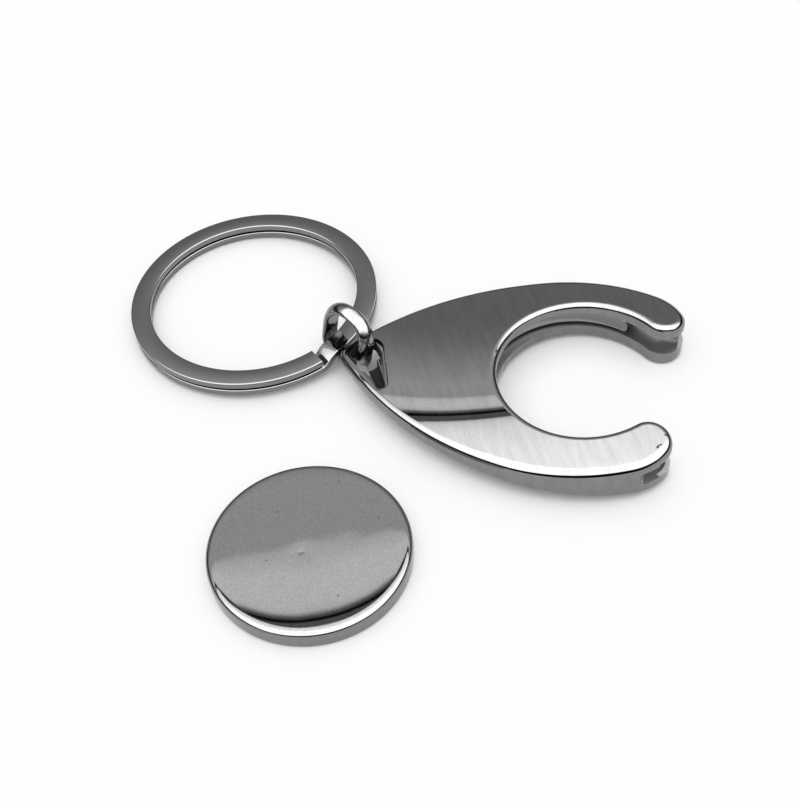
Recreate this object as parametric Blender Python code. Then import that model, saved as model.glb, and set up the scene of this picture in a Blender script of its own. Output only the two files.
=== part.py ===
"""Keyring with a holder for a shopping-trolley coin, at real size in metres, +Z up.

The origin is the centre of the coin's underside, on the floor. +X is the way the holder's open
mouth points, and the pointed end, with the link and the split ring, lies towards -X. The sizes and
the pieces' own places are given from the centre of the holder's round opening.
"""
import math

import bmesh
import bpy
from mathutils import Matrix, Vector

MM = 0.001

# Clearances that neighbouring pieces share
FIT_GAP = 0.30 * MM
CUT_OVERRUN = 2.0 * MM

# Coin: a plain round token of the size of a one-euro piece
COIN_DIAMETER = 23.25 * MM
COIN_THICKNESS = 2.33 * MM
COIN_EDGE_RADIUS = 0.35 * MM
COIN_DIMPLE_RADIUS = 0.45 * MM
COIN_DIMPLE_DEPTH = 0.12 * MM
COIN_X = -27.13 * MM
COIN_Y = -28.08 * MM

# Holder outline: arcs from the pointed tip over the flank, jaw and shoulder to the nose
RIM_HOLD = 1.175 * MM
OPENING_RADIUS = COIN_DIAMETER / 2 - RIM_HOLD
NOSE_RADIUS = 2.6 * MM
NOSE_ANGLE = math.radians(48.87)
SHOULDER_RADIUS = 7.0 * MM
JAW_RADIUS = 24.46 * MM
JAW_CREST_X = -1.76 * MM
ARM_WIDTH = 5.50 * MM
HALF_WIDTH = OPENING_RADIUS + ARM_WIDTH
FLANK_RADIUS = 39.16 * MM
TIP_RADIUS = 1.33 * MM
TIP_REACH = 30.1 * MM

# Holder faces: two shallow domes that meet the side walls in small fillets
DOME_TIP_HALF = 0.70 * MM
DOME_CREST_HALF = 3.57 * MM
DOME_CREST_X = 5.0 * MM
DOME_HALF_WAVE = 40.0 * MM
DOME_CROSS_RADIUS = 74.0 * MM
EDGE_FILLET = 0.45 * MM
FACE_GRID = 2.0 * MM

# Groove that takes the coin's rim, and the deeper channel behind the spring
SPRING_FLEX_ROOM = 0.75 * MM
GROOVE_SIDE_GAP = 0.075 * MM
WEB_SETBACK = 0.20 * MM
WEB_TURN = math.radians(100.0)

# Window through each outer wall into the pocket at the channel's end, close behind the nose
NOSE_WALL = 0.5839 * MM
NOSE_FRONT_X = (OPENING_RADIUS + NOSE_RADIUS) * math.cos(NOSE_ANGLE) + NOSE_RADIUS
WINDOW_WIDTH = 2.5 * MM
WINDOW_HEIGHT = 2.0 * MM
WINDOW_FRONT_X = NOSE_FRONT_X - NOSE_WALL
WINDOW_FRONT_RADIUS = 0.95 * MM
WINDOW_REAR_RADIUS = 0.35 * MM
CHANNEL_LIP = 0.20 * MM
CHANNEL_END_X = WINDOW_FRONT_X - WINDOW_WIDTH - CHANNEL_LIP

# Slot for the link at the pointed end: a shallow ledge round a through hole and its narrow tail
LEDGE_DEPTH = 0.40 * MM
RECESS_HEAD = (-26.85 * MM, 0.47 * MM, 2.03 * MM)
RECESS_TAIL = (-24.05 * MM, -4.80 * MM, 0.95 * MM)
RECESS_HEEL = (-28.20 * MM, -0.35 * MM, 1.15 * MM)
HOLE_HEAD = (-26.80 * MM, 1.48 * MM, 0.92 * MM)
HOLE_HEEL = (-28.27 * MM, -0.10 * MM, 0.60 * MM)
HOLE_KNEE = (-26.75 * MM, -1.25 * MM, 0.55 * MM)
HOLE_SIDE = (-25.80 * MM, 0.10 * MM, 0.90 * MM)
TAIL_NECK = (-25.84 * MM, -1.27 * MM, 0.75 * MM)
TAIL_END = (-24.10 * MM, -4.30 * MM, 0.45 * MM)

# Spring: a strip of spring steel bent to a C and sprung into the channel
STRIP_THICKNESS = 0.40 * MM
STRIP_HEIGHT = 1.90 * MM
STRIP_SQUEEZE = 0.625 * MM
STRIP_INNER_RADIUS = COIN_DIAMETER / 2 - STRIP_SQUEEZE
STRIP_HALF_SPAN = math.radians(117.0)
STRIP_END_RADIUS = 0.70 * MM
CHANNEL_RADIUS = STRIP_INNER_RADIUS + STRIP_THICKNESS + FIT_GAP + SPRING_FLEX_ROOM

# Link: a closed loop of half-round band, standing on its lower limb and leaning a little
LINK_INNER_HALF_LENGTH = 2.95 * MM
LINK_INNER_HALF_HEIGHT = 2.85 * MM
LINK_TOP_ROUND_SHARE = 1 / 1.15
LINK_BASE_ROUND_SHARE = 1 / 2.5
LINK_BAND_WIDTH = 2.30 * MM
LINK_EDGE_THICKNESS = 0.36 * MM
LINK_CROWN_THICKNESS = 1.20 * MM
LINK_HEADING = math.radians(-33.0)
LINK_LEAN = math.radians(15.0)
LINK_PIVOT_RISE = 0.35 * MM
LINK_X = -29.77 * MM
LINK_Y = 2.82 * MM

# Split ring: two turns of flat wire, joined by a short climb from the lower to the upper turn
RING_OUTER_RADIUS = 16.15 * MM
RING_BAND_WIDTH = 2.54 * MM
RING_WIRE_THICKNESS = 0.90 * MM
RING_TURN_GAP = 0.28 * MM
RING_WIRE_FILLET = 0.18 * MM
RING_LINK_HEADING = math.radians(-24.6)
RING_LINK_INSET = 0.225 * MM
RING_X = LINK_X - (RING_OUTER_RADIUS - RING_LINK_INSET) * math.cos(RING_LINK_HEADING)
RING_Y = LINK_Y - (RING_OUTER_RADIUS - RING_LINK_INSET) * math.sin(RING_LINK_HEADING)
RING_TOP_END = math.radians(-41.0)
RING_CLIMB_END = math.radians(-33.0)
RING_LOWER_START = math.radians(-14.0)
RING_LIFT_HEADING = math.radians(-30.0)
RING_LIFT = 0.85 * MM
RING_PIVOT_HEADING = math.radians(-21.0)
RING_PIVOT_RISE = 0.90 * MM
RING_PIVOT_OFFSET = 0.30 * MM

# Fineness of round shapes
ARC_SAG = 0.012 * MM
MERGE_LENGTH = 0.004 * MM
FILLET_STEPS = 3
ARC_STEP = math.radians(12.0)
STRIP_STEP = math.radians(6.0)
LINK_STEPS = 48
RING_STEP = math.radians(5.0)
RING_CLIMB_STEP = math.radians(1.6)
RING_END_CUT = math.radians(0.4)
COIN_STEPS = 96


def clear_scene():
    for old in list(bpy.data.objects):
        bpy.data.objects.remove(old, do_unlink=True)


def metal(name, colour, roughness):
    material = bpy.data.materials.new(name)
    material.use_nodes = True
    shader = material.node_tree.nodes["Principled BSDF"]
    shader.inputs["Base Color"].default_value = (*colour, 1.0)
    shader.inputs["Metallic"].default_value = 1.0
    shader.inputs["Roughness"].default_value = roughness
    return material


def place(name, mesh_data, material, matrix=None):
    """Makes an object from a bmesh, with its origin at the matrix, both from the opening's centre."""
    matrix = matrix or Matrix.Identity(4)
    bmesh.ops.transform(mesh_data, matrix=matrix.inverted(), verts=mesh_data.verts)
    bmesh.ops.recalc_face_normals(mesh_data, faces=mesh_data.faces)
    mesh = bpy.data.meshes.new(name)
    mesh_data.to_mesh(mesh)
    mesh_data.free()
    mesh.materials.append(material)
    mesh.shade_smooth()
    mesh.set_sharp_from_angle(angle=math.radians(35.0))
    piece = bpy.data.objects.new(name, mesh)
    piece.matrix_world = Matrix.Translation((-COIN_X, -COIN_Y, 0)) @ matrix
    bpy.context.scene.collection.objects.link(piece)
    return piece


def cut(piece, name, cutter_mesh):
    """Subtracts a closed cutter from a piece with a live Boolean."""
    cutter = place(name, cutter_mesh, piece.data.materials[0])
    cutter.hide_render = True
    cutter.display_type = "WIRE"
    boolean = piece.modifiers.new(name, "BOOLEAN")
    boolean.operation = "DIFFERENCE"
    boolean.solver = "EXACT"
    boolean.object = cutter


def heading(vector):
    return math.atan2(vector[1], vector[0])


def polar(centre, radius, angle):
    return Vector((centre[0] + radius * math.cos(angle), centre[1] + radius * math.sin(angle)))


def arc(centre, radius, start, end):
    """Points along an arc, both ends included, whose chords stay within ARC_SAG of it."""
    step = min(ARC_STEP, 2 * math.acos(1 - ARC_SAG / radius))
    count = max(2, math.ceil(abs(end - start) / step))
    return [polar(centre, radius, start + (end - start) * i / count) for i in range(count + 1)]


def tangent_centre(centre_a, radius_a, centre_b, radius_b, side):
    """Centre that lies radius_a from one centre and radius_b from the other."""
    a = Vector(centre_a)
    b = Vector(centre_b)
    distance = (b - a).length
    along = (radius_a ** 2 - radius_b ** 2 + distance ** 2) / (2 * distance)
    across = math.sqrt(radius_a ** 2 - along ** 2)
    unit = (b - a) / distance
    return a + unit * along + Vector((-unit.y, unit.x)) * across * side


def without_doubles(points):
    tidy = []
    for point in points:
        if not tidy or (point - tidy[-1]).length > MERGE_LENGTH:
            tidy.append(point)
    return tidy


def holder_outline():
    """The holder seen from above, anticlockwise from the tip: the lower half, then its mirror."""
    tip = Vector((TIP_RADIUS - TIP_REACH, 0))
    jaw = Vector((JAW_CREST_X, HALF_WIDTH - JAW_RADIUS))
    nose = polar((0, 0), OPENING_RADIUS + NOSE_RADIUS, NOSE_ANGLE)
    flank = tangent_centre(tip, FLANK_RADIUS - TIP_RADIUS, jaw, FLANK_RADIUS - JAW_RADIUS, -1)
    shoulder = tangent_centre(jaw, JAW_RADIUS - SHOULDER_RADIUS, nose, SHOULDER_RADIUS - NOSE_RADIUS, 1)
    upper = arc(tip, TIP_RADIUS, math.pi, heading(tip - flank))
    upper += arc(flank, FLANK_RADIUS, heading(tip - flank), heading(jaw - flank))
    upper += arc(jaw, JAW_RADIUS, heading(jaw - flank), heading(shoulder - jaw))
    upper += arc(shoulder, SHOULDER_RADIUS, heading(shoulder - jaw), heading(nose - shoulder))
    upper += arc(nose, NOSE_RADIUS, heading(nose - shoulder), NOSE_ANGLE - math.pi)
    upper += arc((0, 0), OPENING_RADIUS, NOSE_ANGLE, math.pi)
    upper = without_doubles(upper)
    lower = [Vector((p.x, -p.y)) for p in upper]
    return lower[:-1] + list(reversed(upper))[:-1]


def half_thickness(x, y):
    """Half the holder's thickness: a cosine from crest to tip, less a shallow dome across."""
    wave = (1 + math.cos(math.pi * (x - DOME_CREST_X) / DOME_HALF_WAVE)) / 2
    return DOME_TIP_HALF + (DOME_CREST_HALF - DOME_TIP_HALF) * wave - y * y / (2 * DOME_CROSS_RADIUS)


def inset(points, distance):
    """A closed anticlockwise outline moved inwards by a distance."""
    moved = []
    for i, point in enumerate(points):
        before = (point - points[i - 1]).normalized()
        after = (points[(i + 1) % len(points)] - point).normalized()
        normal = Vector((-(before.y + after.y), before.x + after.x))
        moved.append(point + normal * (distance / (1 + before.dot(after))))
    return moved


def holder_mid_plane():
    """Height of the mid-plane at which the lower dome just rests on the floor."""
    return max(half_thickness(p.x, p.y) for p in inset(holder_outline(), EDGE_FILLET))


def domed_holder(outline, mid_plane):
    """The holder's body: side wall, a fillet above and below it, and the two domed faces."""
    body = bmesh.new()
    rims = {}
    for face in (1, -1):
        rims[face] = []
        for step in range(FILLET_STEPS + 1):
            angle = math.pi / 2 * step / FILLET_STEPS
            loop = inset(outline, EDGE_FILLET * (1 - math.cos(angle)))
            drop = EDGE_FILLET * (1 - math.sin(angle))
            rims[face].append([
                body.verts.new((p.x, p.y, mid_plane + face * (half_thickness(p.x, p.y) - drop)))
                for p in loop])
    bands = [(rims[1][0], rims[-1][0])]
    for face in (1, -1):
        bands += list(zip(rims[face], rims[face][1:]))
    for near, far in bands:
        for i in range(len(near)):
            body.faces.new((near[i - 1], near[i], far[i], far[i - 1]))
    for face in (1, -1):
        dome = [body.faces.new(rims[face][-1])]
        for axis in (0, 1):
            normal = Vector((1 - axis, axis, 0))
            reach = TIP_REACH if axis == 0 else HALF_WIDTH
            for k in range(-int(reach / FACE_GRID), int(reach / FACE_GRID) + 1):
                parts = set(dome)
                for old in dome:
                    parts.update(old.verts)
                    parts.update(old.edges)
                result = bmesh.ops.bisect_plane(body, geom=list(parts), plane_co=normal * k * FACE_GRID,
                                                plane_no=normal, dist=MERGE_LENGTH)
                dome = [g for g in result["geom"] if isinstance(g, bmesh.types.BMFace)]
        rim = set(rims[face][-1])
        for vertex in {v for f in dome for v in f.verts} - rim:
            vertex.co.z = mid_plane + face * half_thickness(vertex.co.x, vertex.co.y)
    bmesh.ops.triangulate(body, faces=body.faces)
    return body


def prism(outline, low, high):
    """A closed upright block over an outline."""
    block = bmesh.new()
    bottom = [block.verts.new((p.x, p.y, low)) for p in outline]
    top = [block.verts.new((p.x, p.y, high)) for p in outline]
    block.faces.new(list(reversed(bottom)))
    block.faces.new(top)
    for i in range(len(outline)):
        block.faces.new((bottom[i - 1], bottom[i], top[i], top[i - 1]))
    return block


def rounded_hull(circles):
    """Outline stretched round circles (x, y, radius) that are listed anticlockwise."""
    points = []
    bearings = []
    for i, (x, y, radius) in enumerate(circles):
        next_x, next_y, next_radius = circles[(i + 1) % len(circles)]
        step = Vector((next_x - x, next_y - y))
        bearings.append(heading(step) - math.pi / 2 + math.asin((radius - next_radius) / step.length))
    for i, (x, y, radius) in enumerate(circles):
        start = bearings[i - 1]
        turn = (bearings[i] - start) % (2 * math.pi)
        points += arc((x, y), radius, start, start + turn)
    return points


def groove_outline():
    """Coin groove: the channel behind the spring, which runs straight on into each arm's end."""
    turn = math.acos(CHANNEL_END_X / CHANNEL_RADIUS)
    round_part = arc((0, 0), CHANNEL_RADIUS, turn, 2 * math.pi - turn)
    ends = [Vector((WINDOW_FRONT_X, round_part[-1].y)), Vector((WINDOW_FRONT_X, round_part[0].y))]
    return ends + round_part


def web_outline(side):
    """A crescent that sets the web back between the two plates at the rounded end of one jaw."""
    nose = polar((0, 0), OPENING_RADIUS + NOSE_RADIUS, NOSE_ANGLE)
    nose.y *= side
    middle = side * (NOSE_ANGLE - math.pi / 4)
    inner = arc(nose, NOSE_RADIUS - WEB_SETBACK, middle - WEB_TURN / 2, middle + WEB_TURN / 2)
    outer = arc(nose, NOSE_RADIUS + CUT_OVERRUN, middle + WEB_TURN / 2, middle - WEB_TURN / 2)
    return inner + outer


def window_cutter(side, mid_plane):
    """A slot with rounded ends through the outer wall of one jaw into the channel's end."""
    half = WINDOW_WIDTH / 2
    rise = WINDOW_HEIGHT / 2
    circles = []
    for x, radius in ((half, WINDOW_FRONT_RADIUS), (-half, WINDOW_REAR_RADIUS)):
        for y in (rise, -rise):
            circles.append((x - math.copysign(radius, x), y - math.copysign(radius, y), radius))
    profile = rounded_hull([circles[1], circles[0], circles[2], circles[3]])
    channel_end = math.sqrt(CHANNEL_RADIUS**2 - CHANNEL_END_X**2)
    block = prism(profile, channel_end - CUT_OVERRUN, HALF_WIDTH + CUT_OVERRUN)
    outwards = Vector((0, side, 0))
    upwards = Vector((0, 0, 1))
    forwards = upwards.cross(outwards) * -side
    turn = Matrix((forwards, upwards, outwards)).transposed().to_4x4()
    turn.translation = Vector((WINDOW_FRONT_X - half, 0, mid_plane))
    bmesh.ops.transform(block, matrix=turn, verts=block.verts)
    bmesh.ops.recalc_face_normals(block, faces=block.faces)
    return block


def build_holder(material):
    outline = holder_outline()
    mid_plane = holder_mid_plane()
    holder = place("coin_holder", domed_holder(outline, mid_plane), material)
    groove_half = COIN_THICKNESS / 2 + GROOVE_SIDE_GAP
    cut(holder, "groove_cutter", prism(groove_outline(), mid_plane - groove_half, mid_plane + groove_half))
    for side, name in ((1, "left"), (-1, "right")):
        cut(holder, name + "_window_cutter", window_cutter(side, mid_plane))
        web = prism(web_outline(side), mid_plane - groove_half, mid_plane + groove_half)
        cut(holder, name + "_web_cutter", web)
    above = mid_plane + DOME_CREST_HALF + CUT_OVERRUN
    below = mid_plane - DOME_CREST_HALF - CUT_OVERRUN
    ledge = mid_plane + half_thickness(RECESS_HEAD[0], 0) - LEDGE_DEPTH
    slot_cuts = (("ledge_cutter", (RECESS_HEAD, RECESS_HEEL, RECESS_TAIL), ledge),
                 ("hole_cutter", (HOLE_HEAD, HOLE_HEEL, HOLE_KNEE, HOLE_SIDE), below),
                 ("tail_cutter", (TAIL_NECK, TAIL_END), below))
    for name, circles, floor in slot_cuts:
        cut(holder, name, prism(rounded_hull(circles), floor, above))
    return holder


def sweep(sections, closed):
    """Skins a row of equal sections, each a list of points, as a closed loop or with capped ends."""
    skin = bmesh.new()
    rows = [[skin.verts.new(point) for point in section] for section in sections]
    pairs = list(zip(rows, rows[1:]))
    if closed:
        pairs.append((rows[-1], rows[0]))
    else:
        skin.faces.new(rows[0])
        skin.faces.new(list(reversed(rows[-1])))
    for near, far in pairs:
        for i in range(len(near)):
            skin.faces.new((near[i - 1], near[i], far[i], far[i - 1]))
    return skin


def build_spring(material):
    """The C strip lies against the channel's back and stands clear of it towards its free ends."""
    centre_x = -SPRING_FLEX_ROOM
    middle = holder_mid_plane()
    length = STRIP_INNER_RADIUS * STRIP_HALF_SPAN
    end_arc = [STRIP_END_RADIUS * (1 - math.cos(math.radians(a))) for a in (0, 22.5, 45, 67.5, 90)]
    body_steps = math.ceil((length - STRIP_END_RADIUS) / STRIP_INNER_RADIUS / STRIP_STEP)
    stations = [length - e for e in end_arc]
    stations += [(length - STRIP_END_RADIUS) * (1 - i / body_steps) for i in range(1, body_steps)]
    stations += [0.0]
    stations += [-s for s in reversed(stations[:-1])]
    sections = []
    for station in stations:
        from_end = length - abs(station)
        drop = 0.0
        if from_end < STRIP_END_RADIUS:
            drop = STRIP_END_RADIUS - math.sqrt(STRIP_END_RADIUS ** 2 - (STRIP_END_RADIUS - from_end) ** 2)
        rise = STRIP_HEIGHT / 2 - drop
        angle = math.pi + station / STRIP_INNER_RADIUS
        section = []
        for radius, z in ((0, -rise), (STRIP_THICKNESS, -rise), (STRIP_THICKNESS, rise), (0, rise)):
            point = polar((centre_x, 0), STRIP_INNER_RADIUS + radius, angle)
            section.append((point.x, point.y, middle + z))
        sections.append(section)
    return place("spring_strip", sweep(sections, closed=False), material)


def superellipse(angle, half_x, half_z, round_share):
    """A point of an oval: an ellipse where round_share is 1, nearer a rectangle where it is less."""
    cosine = math.cos(angle)
    sine = math.sin(angle)
    return (half_x * math.copysign(abs(cosine)**round_share, cosine),
            half_z * math.copysign(abs(sine)**round_share, sine))


def link_axes():
    """Unit vectors along the link's length, across its band and up its height."""
    along = Vector((math.cos(LINK_HEADING), math.sin(LINK_HEADING), 0))
    level = Vector((-along.y, along.x, 0))
    up = Vector((0, 0, 1))
    rise = level * math.sin(LINK_LEAN) + up * math.cos(LINK_LEAN)
    across = level * math.cos(LINK_LEAN) - up * math.sin(LINK_LEAN)
    return along, across, rise


def build_link(material, pivot):
    """Half-round band: flat on the inside of the loop, domed on the outside."""
    along, across, rise = link_axes()
    dome_shares = (-1, -0.9, -0.62, -0.3, 0, 0.3, 0.62, 0.9, 1)
    profile = [(LINK_BAND_WIDTH / 2, 0.0), (-LINK_BAND_WIDTH / 2, 0.0)]
    for share in dome_shares:
        crown = (LINK_CROWN_THICKNESS - LINK_EDGE_THICKNESS) * (1 - share * share)
        profile.append((share * LINK_BAND_WIDTH / 2, LINK_EDGE_THICKNESS + crown))
    height = max((LINK_INNER_HALF_HEIGHT + thickness) * rise.z - width * across.z
                 for width, thickness in profile)
    centre = Vector((LINK_X, LINK_Y, height))
    sections = []
    for step in range(LINK_STEPS):
        angle = 2 * math.pi * step / LINK_STEPS
        round_share = LINK_TOP_ROUND_SHARE if math.sin(angle) > 0 else LINK_BASE_ROUND_SHARE
        section = []
        for width, thickness in profile:
            x, z = superellipse(angle, LINK_INNER_HALF_LENGTH + thickness,
                                LINK_INNER_HALF_HEIGHT + thickness, round_share)
            section.append(centre + along * x + rise * z + across * width)
        sections.append(section)
    return place("link", sweep(sections, closed=True), material, pivot)


def ring_tilt():
    """The split ring's own frame: flat on the floor at its far side, lifted at the link."""
    slope = math.asin(RING_LIFT / (2 * RING_OUTER_RADIUS))
    hinge = Vector((-math.sin(RING_LIFT_HEADING), math.cos(RING_LIFT_HEADING), 0))
    tilt = Matrix.Rotation(-slope, 4, hinge)
    return Matrix.Translation((RING_X, RING_Y, RING_LIFT / 2)) @ tilt


def build_split_ring(material, pivot):
    """One flat wire: a lower turn, a climb past the link and an upper turn that ends squarely."""
    tilt = ring_tilt()
    pitch = RING_WIRE_THICKNESS + RING_TURN_GAP
    climb = RING_CLIMB_END - RING_TOP_END
    lower = RING_TOP_END + 2 * math.pi - RING_LOWER_START
    upper = 2 * math.pi - climb
    flat = RING_WIRE_FILLET
    corners = [(0, flat), (flat, 0), (RING_BAND_WIDTH - flat, 0), (RING_BAND_WIDTH, flat),
               (RING_BAND_WIDTH, RING_WIRE_THICKNESS - flat), (RING_BAND_WIDTH - flat, RING_WIRE_THICKNESS),
               (flat, RING_WIRE_THICKNESS), (0, RING_WIRE_THICKNESS - flat)]
    stretches = ((RING_LOWER_START, lower, RING_STEP, 0, 0),
                 (RING_TOP_END, climb, RING_CLIMB_STEP, 0, 1),
                 (RING_CLIMB_END, upper - RING_END_CUT, RING_STEP, 1, 1))
    sections = []
    for start, sweep_angle, step, level_a, level_b in stretches:
        count = math.ceil(sweep_angle / step)
        for i in range(0 if not sections else 1, count + 1):
            share = i / count
            ease = share * share * (3 - 2 * share)
            base = pitch * (level_a + (level_b - level_a) * ease)
            section = []
            for radial, z in corners:
                inner = RING_OUTER_RADIUS - RING_BAND_WIDTH
                point = polar((0, 0), inner + radial, start + sweep_angle * share)
                section.append(tilt @ Vector((point.x, point.y, base + z)))
            sections.append(section)
    return place("split_ring", sweep(sections, closed=False), material, pivot)


def build_coin(material):
    """A turned disc with rounded edges and a small centre mark on the upper face."""
    radius = COIN_DIAMETER / 2
    profile = [(0, 0)]
    for low, start in ((True, -90), (False, 0)):
        z = COIN_EDGE_RADIUS if low else COIN_THICKNESS - COIN_EDGE_RADIUS
        for angle in (0, 30, 60, 90):
            turn = math.radians(start + angle)
            profile.append((radius - COIN_EDGE_RADIUS + COIN_EDGE_RADIUS * math.cos(turn),
                            z + COIN_EDGE_RADIUS * math.sin(turn)))
    profile += [(COIN_DIMPLE_RADIUS, COIN_THICKNESS), (0, COIN_THICKNESS - COIN_DIMPLE_DEPTH)]
    centre = Vector((COIN_X, COIN_Y, 0))
    disc = bmesh.new()
    verts = [disc.verts.new(centre + Vector((x, 0, z))) for x, z in profile]
    edges = [disc.edges.new(pair) for pair in zip(verts, verts[1:])]
    bmesh.ops.spin(disc, geom=verts + edges, cent=centre, axis=(0, 0, 1), angle=2 * math.pi,
                   steps=COIN_STEPS, use_merge=True, use_duplicate=False)
    bmesh.ops.remove_doubles(disc, verts=disc.verts, dist=MERGE_LENGTH)
    return place("coin", disc, material, Matrix.Translation(centre))


def link_pivot(mid_plane):
    """The link swings about the bar between the slot's straight side and the tip's edge."""
    along = link_axes()[0].xy
    head = Vector(HOLE_HEAD[:2])
    heel = Vector(HOLE_HEEL[:2])
    hole_side = (head + heel) / 2 - along * HOLE_HEAD[2]
    outside = [p for p in holder_outline() if (p - hole_side).dot(along) < 0 < p.y]
    first, second = sorted(outside, key=lambda p: abs((p - hole_side).cross(along)))[:2]
    share = (first - hole_side).cross(along) / (first - second).cross(along)
    bar = (hole_side + first.lerp(second, share)) / 2
    return Matrix.Translation((bar.x, bar.y, mid_plane + LINK_PIVOT_RISE))


def ring_pivot():
    """The ring swings in the link about a line just above the wire that the link holds."""
    radius = RING_OUTER_RADIUS - RING_BAND_WIDTH / 2 + RING_PIVOT_OFFSET
    spot = polar((0, 0), radius, RING_PIVOT_HEADING)
    height = RING_WIRE_THICKNESS + RING_TURN_GAP / 2 + RING_PIVOT_RISE
    return ring_tilt() @ Matrix.Translation((spot.x, spot.y, height))


def main():
    clear_scene()
    nickel = metal("dark_nickel_plate", (0.28, 0.28, 0.28), 0.08)
    spring_steel = metal("spring_steel", (0.34, 0.34, 0.34), 0.20)
    link_nickel = metal("dark_nickel_link", (0.27, 0.27, 0.27), 0.08)
    ring_steel = metal("dark_nickel_wire", (0.22, 0.22, 0.22), 0.12)
    token_steel = metal("plated_token_steel", (0.28, 0.28, 0.28), 0.08)
    build_holder(nickel)
    build_spring(spring_steel)
    build_link(link_nickel, link_pivot(holder_mid_plane()))
    build_split_ring(ring_steel, ring_pivot())
    build_coin(token_steel)


main()
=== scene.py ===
"""Looks for a keyring with a trolley-coin holder: a mirror-plated C-shaped holder with its spring,
a round token, a small link and a flat split ring, on a white table under one large soft light."""
import math

import bmesh
import bpy
from mathutils import Matrix, Vector
from mathutils.geometry import delaunay_2d_cdt


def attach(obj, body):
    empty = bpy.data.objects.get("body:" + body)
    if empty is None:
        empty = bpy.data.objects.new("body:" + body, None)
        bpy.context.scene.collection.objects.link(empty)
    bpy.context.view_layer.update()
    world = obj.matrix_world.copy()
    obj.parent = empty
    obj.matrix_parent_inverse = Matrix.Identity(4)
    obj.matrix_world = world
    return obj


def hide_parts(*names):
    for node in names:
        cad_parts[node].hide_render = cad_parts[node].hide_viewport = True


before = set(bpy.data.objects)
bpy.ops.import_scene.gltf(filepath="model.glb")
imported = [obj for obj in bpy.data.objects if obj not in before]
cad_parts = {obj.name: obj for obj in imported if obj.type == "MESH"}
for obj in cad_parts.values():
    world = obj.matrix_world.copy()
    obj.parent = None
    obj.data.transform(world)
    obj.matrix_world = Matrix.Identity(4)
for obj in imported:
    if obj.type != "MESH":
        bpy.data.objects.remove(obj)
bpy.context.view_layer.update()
scene = bpy.context.scene
scene.view_settings.view_transform = "Standard"

# Camera: a long lens above the near side, held a few degrees out of level, as in the photograph.
MM = 0.001
EYE_PLACE = Vector((35.478 * MM, -81.703 * MM, 125.459 * MM))
EYE_HEADING = math.radians(15.968)
EYE_DIP = math.radians(48.663)
EYE_ROLL = math.radians(-5.411)
LENS = 60.86

eye = bpy.data.cameras.new("camera")
eye.sensor_width = 36.0
eye.lens = LENS
camera = bpy.data.objects.new("camera", eye)
camera.matrix_world = (Matrix.Translation(EYE_PLACE) @ Matrix.Rotation(EYE_HEADING, 4, "Z")
                       @ Matrix.Rotation(math.pi / 2 - EYE_DIP, 4, "X") @ Matrix.Rotation(EYE_ROLL, 4, "Z"))
scene.collection.objects.link(camera)
scene.camera = camera


# Light: one large soft box overhead. Its edge, the grey room behind the object and a dark band low
# down all round are what the polished plating mirrors, so the world holds them by direction.
def linear(hex_colour):
    """Linear RGBA of an sRGB colour written as hex."""
    shares = [int(hex_colour[i:i + 2], 16) / 255 for i in (0, 2, 4)]
    return [s / 12.92 if s <= 0.04045 else ((s + 0.055) / 1.055) ** 2.4 for s in shares] + [1.0]


def node(tree, kind, inputs=None, **settings):
    """Adds a node; an input's value is a number or colour, or an output socket to link."""
    made = tree.nodes.new(kind)
    for name, value in settings.items():
        setattr(made, name, value)
    for key, value in (inputs or {}).items():
        if isinstance(value, bpy.types.NodeSocket):
            tree.links.new(value, made.inputs[key])
        else:
            made.inputs[key].default_value = value
    return made


def set_stops(ramp, stops):
    """Colour stops of a ramp, as (place from 0 to 1, hex colour)."""
    elements = ramp.color_ramp.elements
    while len(elements) < len(stops):
        elements.new(0.5)
    for element, (place, colour) in zip(elements, stops):
        element.position = place
    for element, (place, colour) in zip(elements, stops):
        element.color = linear(colour)


# Degrees from the far horizon up, over and down to the near one, with the grey that the plating
# shows of it. The second list is the rim of the soft box, where the tones change within a degree.
ROOM_STOPS = [(0, "1c1c1c"), (12, "1c1c1c"), (22, "565656"), (32, "575757"), (36, "5b5b5b"), (40, "636363"),
              (44, "717171"), (48, "7e7e7e"), (50, "858585"), (62, "d3d3d3"), (66, "dedede"), (72, "e6e6e6"),
              (77, "ffffff"), (150, "ffffff"), (154, "030303"), (180, "030303")]
RIM_STOPS = [(50, "858585"), (53.4, "848484"), (53.6, "9c9c9c"), (54.4, "acacac"), (55.8, "acacac"),
             (56.3, "a2a2a2"), (56.8, "565656"), (57.4, "080808"), (57.7, "000000"), (58.0, "484848"),
             (58.4, "464646"), (58.9, "404040"), (59.2, "a8a8a8"), (59.6, "bcbcbc"), (60.4, "c8c8c8"),
             (62, "d3d3d3")]
BOX_HEADING = math.radians(22)
SIDE_DARK = "141414"
BOX_SIDES = (2.0, 2.6)
BOX_STRENGTH = 4.4
LEAST_RISE = 0.001

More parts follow.
